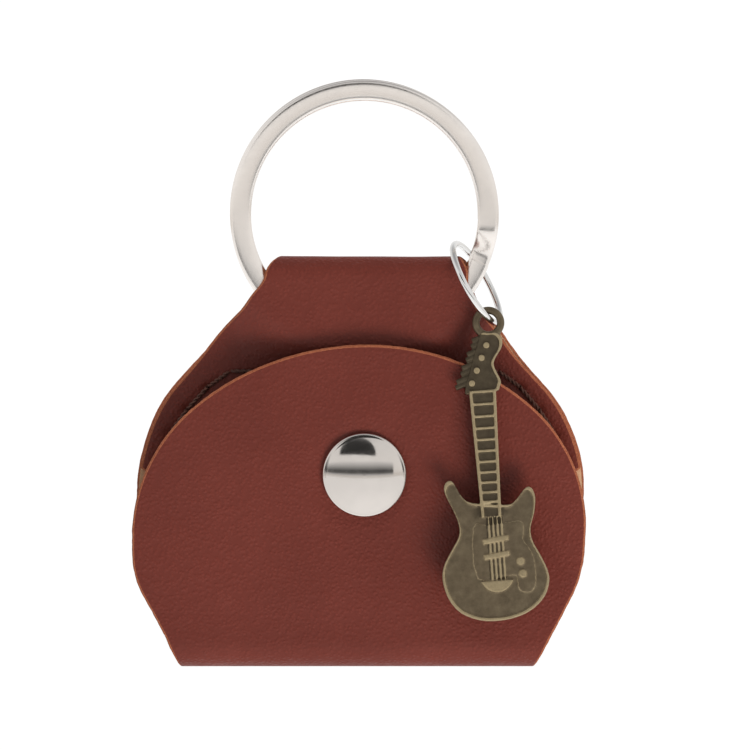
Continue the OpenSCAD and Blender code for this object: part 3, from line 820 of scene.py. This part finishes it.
stud = [(1.32, -0.55), (4.1, -0.55), (4.3, -0.60), (4.4, -0.75), (4.35, -0.92), (4.2, -1.03),
        (4.0, -1.05), (2.3, -1.05), (2.12, -1.10), (1.98, -1.25), (1.93, -1.40), (1.98, -1.55),
        (2.12, -1.72), (2.19, -1.92), (2.2, -2.05), (2.15, -2.22), (2.0, -2.36), (1.8, -2.43),
        (1.6, -2.45), (1.32, -2.45)]
ride(lathe("snap_stud_head", stud, [NICKEL]), "holder", "snap_stud")
eyelet = [(0.85, 0.60), (0.9, 0.72), (1.1, 0.84), (3.6, 0.85), (3.9, 0.80), (4.0, 0.66),
          (3.96, 0.45), (3.85, 0.36), (1.3, 0.35), (1.3, -2.33), (1.22, -2.42), (1.1, -2.45),
          (0.97, -2.44), (0.87, -2.36), (0.85, -2.25)]
ride(lathe("stud_eyelet_barrel", eyelet[::-1], [NICKEL]), "holder", "stud_eyelet")


# ---------------------------------------------------------------- jump ring
JUMP_AT = np.array([13.32, -1.64, -8.09])
JUMP_R, JUMP_WIRE_R = 5.29, 0.385
JUMP_SEAM, JUMP_GAP = 140.0, 0.9                # the wire's two ends almost meet here, in degrees


def jump_ring_piece():
    turn = Matrix.Rotation(math.radians(-16.4), 3, "Z") @ Matrix.Rotation(math.radians(61.5), 3, "Y")
    a = np.radians(np.linspace(JUMP_SEAM + JUMP_GAP / 2, JUMP_SEAM + 360 - JUMP_GAP / 2, 140))
    pts = [JUMP_AT + np.array(turn @ Vector((JUMP_R * math.cos(t), JUMP_R * math.sin(t), 0))) for t in a]
    obj = tube("jump_ring_wire", pts, round_section(JUMP_WIRE_R, 20), [WIRE])
    ride(obj, "jump_ring", "jump_ring")


jump_ring_piece()

# ---------------------------------------------------------------- charm: the CAD shape with cast edges
CHARM_AT = np.array([14.65, -4.4, -12.65])
CHARM_TURN = np.array(Matrix.Rotation(math.radians(-7.5), 3, "X")
                      @ Matrix.Rotation(math.radians(-4.0), 3, "Y"))
CHARM_FACE = 0.45 - 1.2                         # front face of the plate, from the charm's own origin
VOXEL, KEEP_FACES = 0.085, 0.45
EYELET_END, LONGER = -1.3, 0.016                # below its eyelet the charm is a little longer than in CAD
HEAD_END, NECK_END, STRINGS_END = -8.1, -22.5, -29.8
FACE_PATINA, BACK_PATINA = 0.12, 0.35           # on the plate's face, and on its sides and back
HIGH_WORN, LOW_WORN = 0.75, 0.45                # on the highest relief, and on the low lines


def charm_piece():
    """Rounds the CAD charm's edges, and marks where patina lies and where the relief is worn bright."""
    source = bpy.data.objects["guitar_charm"]
    obj = bpy.data.objects.new("guitar_casting", source.data.copy())
    bpy.context.scene.collection.objects.link(obj)
    remesh = obj.modifiers.new("remesh", "REMESH")
    remesh.mode = "VOXEL"
    remesh.voxel_size = VOXEL * MM
    smooth = obj.modifiers.new("smooth", "SMOOTH")
    smooth.factor, smooth.iterations = 0.5, 3
    thin = obj.modifiers.new("thin", "DECIMATE")
    thin.ratio = KEEP_FACES
    bpy.context.view_layer.update()
    made = bpy.data.meshes.new_from_object(obj.evaluated_get(bpy.context.evaluated_depsgraph_get()))
    obj.modifiers.clear()
    obj.data = made
    co = np.array([v.co for v in made.vertices]) / MM
    q = (co - CHARM_AT) @ CHARM_TURN
    longer = np.where(q[:, 2] < EYELET_END, 1 + LONGER * ease((EYELET_END - q[:, 2]) / 6), 1)
    stretch = np.stack([np.ones_like(longer), np.ones_like(longer), longer], 1)
    placed = (q * stretch) @ CHARM_TURN.T + CHARM_AT
    made.vertices.foreach_set("co", placed.astype(np.float32).ravel() * MM)
    # x from the neck's middle line, h above the face of the plate, z up from the eyelet's centre
    x, h, z = q[:, 0] + 1.3, CHARM_FACE - q[:, 1], q[:, 2]
    neck = (z < HEAD_END) & (z > NECK_END) & (np.abs(x) < 1.6)
    head = (z >= HEAD_END) & (z < EYELET_END - 0.1)
    strings = (np.abs(x - 0.3) < 1.0) & (z < NECK_END - 0.1) & (z > STRINGS_END)
    plate = ~(neck | head | strings)

    def recess(share, height, fade):
        """Patina that thins out from this height above the plate."""
        return share * (1 - ease((h - height) / fade))

    patina = np.full(len(x), FACE_PATINA)
    patina = np.where(neck, recess(0.62, 0.14, 0.14), patina)
    patina = np.where(head, recess(0.66, 0.04, 0.14), patina)
    patina = np.where(strings, recess(0.7, 0.16, 0.10), patina)
    patina = np.where(plate & (h < -0.10), BACK_PATINA, patina)
    worn = ease((h - 0.16) / 0.08) * HIGH_WORN
    worn = np.where(plate & (h > 0.05) & (h < 0.125), LOW_WORN, worn)
    for name, values in (("patina", patina), ("worn", worn)):
        made.attributes.new(name, "FLOAT", "POINT").data.foreach_set("value", values.astype(np.float32))
    made.materials.clear()
    made.materials.append(BRONZE)
    made.polygons.foreach_set("use_smooth", np.ones(len(made.polygons), bool))
    made.update()
    ride(obj, "charm", "guitar_charm")


charm_piece()

# ---------------------------------------------------------------- stage, light, camera
def stage_plane(name, size, loc, mat):
    mesh = bpy.data.meshes.new(name)
    h = size / 2
    mesh.from_pydata([(-h, -h, 0), (h, -h, 0), (h, h, 0), (-h, h, 0)], [], [(0, 1, 2, 3)])
    mesh.materials.append(mat)
    obj = bpy.data.objects.new(name, mesh)
    obj.location = loc
    bpy.context.scene.collection.objects.link(obj)
    return obj


FLOOR_GLOW = 0.68                               # keeps the floor as white as the background behind it


def floor_material():
    m = Nodes("pale_floor")
    cloud = m.noise(0.004, 2, 0.5)
    m.bsdf.inputs["Emission Color"].default_value = (1, 1, 1, 1)
    m.bsdf.inputs["Emission Strength"].default_value = FLOOR_GLOW
    return m.out(m.ramp(cloud, [(0.3, 0.93), (0.7, 0.96)]), 0.9)


def card_material(name, stops):
    """Shades the card from its lower edge to its upper one; stops are places in mm and brightness."""
    m = Nodes(name)
    split = m.add("ShaderNodeSeparateXYZ")
    m.link(m.mm, split.inputs[0])
    span = m.add("ShaderNodeMapRange")
    m.link(split.outputs["Y"], span.inputs["Value"])
    first, last = stops[0][0], stops[-1][0]
    span.inputs["From Min"].default_value = first
    span.inputs["From Max"].default_value = last
    shade = m.ramp(span.outputs[0], [((at - first) / (last - first), v) for at, v in stops])
    m.link(shade, m.bsdf.inputs["Emission Color"])
    m.bsdf.inputs["Emission Strength"].default_value = 1.0
    return m.out((0, 0, 0), 1.0, Specular_IOR_Level=0.0)


def dark_material():
    m = Nodes("dark_cloth")
    return m.out(m.ramp(m.noise(0.05), [(0.3, 0.10), (0.7, 0.14)]), 0.95)


stage_plane("floor", 12.0, (0, 0, -0.90), floor_material())


def card(name, w, h, loc, aim, stops):
    """A shaded card in front of the object, seen only in reflections."""
    obj = stage_plane(name, 1.0, (0, 0, 0), card_material(name, stops))
    obj.data.transform(Matrix.Diagonal((w, h, 1, 1)))
    obj.location = loc
    obj.rotation_mode = "QUATERNION"
    obj.rotation_quaternion = (Vector(aim) - Vector(loc)).to_track_quat("-Z", "Y")
    obj.visible_camera = False
    obj.visible_diffuse = False
    obj.visible_shadow = False
    return obj


# card_low gives the dark band across the snap's dome, card_high the dark arch in its upper part
snap_at = (0, -0.006, SNAP_Z * MM)
card_x, card_z = -0.018, -0.0245
card("card_low", 0.180, 0.0320, (card_x, -0.10, card_z), (card_x, 0, card_z),
     [(-16.0, 0.80), (-13.0, 0.50), (-9.5, 0.10), (-4.0, 0.08), (2.0, 0.32), (9.0, 0.60), (16.0, 0.86)])
high = card("card_high", 1.0, 1.0, (-0.105, -0.655, 0.376), snap_at,
            [(-150, 0.03), (60, 0.05), (150, 0.12)])
arch_half_w, arch_h, arch_down = 0.32, 0.30, 0.105
rim = arc(0, -0.15, 1.0, 0, 180, 24) * [arch_half_w, arch_h] + [0, -arch_down]
high.data.clear_geometry()
high.data.from_pydata([(x, z, 0) for x, z in rim], [], [list(range(len(rim)))])


HOLDER_AT = (0, 0, -0.02)


def area(name, loc, size, power, color=(1, 1, 1)):
    """A soft light turned to the object and kept out of its reflections."""
    data = bpy.data.lights.new(name, "AREA")
    data.shape = "RECTANGLE"
    data.size, data.size_y = size
    data.energy = power
    data.color = color
    obj = bpy.data.objects.new(name, data)
    obj.location = loc
    obj.rotation_mode = "QUATERNION"
    obj.rotation_quaternion = (Vector(HOLDER_AT) - obj.location).to_track_quat("-Z", "Y")
    obj.visible_glossy = False
    bpy.context.scene.collection.objects.link(obj)


area("key_light", (0.34, -0.56, -0.58), (0.45, 0.35), 7.0, (1.0, 0.985, 0.965))
area("rim_light", (0.05, 0.02, 0.80), (0.5, 0.3), 7.0)
# A dark cloth below, mostly behind, so that little light from the floor reaches the bottom fold
flag = stage_plane("flag_below", 1.0, (0, 0.105, -0.11), dark_material())
flag.data.transform(Matrix.Diagonal((0.30, 0.30, 1, 1)))
flag.visible_camera = False
flag.visible_glossy = False

DIFFUSE_SKY, CAMERA_SKY = 0.36, 1.05            # strengths of the world as diffuse light and as background
world = bpy.data.worlds.new("studio")
bpy.context.scene.world = world
world.use_nodes = True
wt = world.node_tree
wt.nodes.clear()


def background(strength):
    node = wt.nodes.new("ShaderNodeBackground")
    node.inputs["Color"].default_value = (1, 1, 1, 1)
    node.inputs["Strength"].default_value = strength
    return node


w_coord = wt.nodes.new("ShaderNodeTexCoord")
w_sep = wt.nodes.new("ShaderNodeSeparateXYZ")
w_map = wt.nodes.new("ShaderNodeMapRange")
w_ramp = wt.nodes.new("ShaderNodeValToRGB")
wt.links.new(w_coord.outputs["Generated"], w_sep.inputs[0])
wt.links.new(w_sep.outputs["Z"], w_map.inputs["Value"])
w_map.inputs["From Min"].default_value = -1.0
wt.links.new(w_map.outputs[0], w_ramp.inputs["Fac"])
# The room as metal sees it: warm grey below, bright from eye height up, darker straight overhead
ramp = w_ramp.color_ramp.elements
ramp[0].position, ramp[0].color = 0.0, (0.70, 0.67, 0.64, 1)
ramp[1].position, ramp[1].color = 1.0, (0.40, 0.40, 0.41, 1)
for pos, col in ((0.47, (0.80, 0.765, 0.73, 1)), (0.50, (0.96, 0.94, 0.92, 1)),
                 (0.60, (0.98, 0.97, 0.96, 1)), (0.78, (0.95, 0.95, 0.95, 1))):
    stop = ramp.new(pos)
    stop.color = col
w_gloss = background(1.0)
wt.links.new(w_ramp.outputs["Color"], w_gloss.inputs["Color"])
w_diffuse = background(DIFFUSE_SKY)
w_camera = background(CAMERA_SKY)
w_path = wt.nodes.new("ShaderNodeLightPath")
w_mix1 = wt.nodes.new("ShaderNodeMixShader")
w_mix2 = wt.nodes.new("ShaderNodeMixShader")
w_out = wt.nodes.new("ShaderNodeOutputWorld")
wt.links.new(w_path.outputs["Is Glossy Ray"], w_mix1.inputs[0])
wt.links.new(w_diffuse.outputs[0], w_mix1.inputs[1])
wt.links.new(w_gloss.outputs[0], w_mix1.inputs[2])
wt.links.new(w_path.outputs["Is Camera Ray"], w_mix2.inputs[0])
wt.links.new(w_mix1.outputs[0], w_mix2.inputs[1])
wt.links.new(w_camera.outputs[0], w_mix2.inputs[2])
wt.links.new(w_mix2.outputs[0], w_out.inputs[0])

ELEVATION, DISTANCE, FRAME_W = 4.0, 0.42, 0.0892    # FRAME_W is the width seen at the object
aim = Vector((0.00125, -0.0025, -0.01898))
cam_data = bpy.data.cameras.new("camera")
cam_data.sensor_width = 36.0
cam_data.lens = 36.0 * DISTANCE / FRAME_W
cam = bpy.data.objects.new("camera", cam_data)
e = math.radians(ELEVATION)
cam.location = aim + Vector((0, -math.cos(e), math.sin(e))) * DISTANCE
cam.rotation_mode = "QUATERNION"
cam.rotation_quaternion = (aim - cam.location).to_track_quat("-Z", "Y")
bpy.context.scene.collection.objects.link(cam)
bpy.context.scene.camera = cam

bpy.context.scene.view_settings.view_transform = "Standard"
bpy.context.scene.view_settings.look = "None"
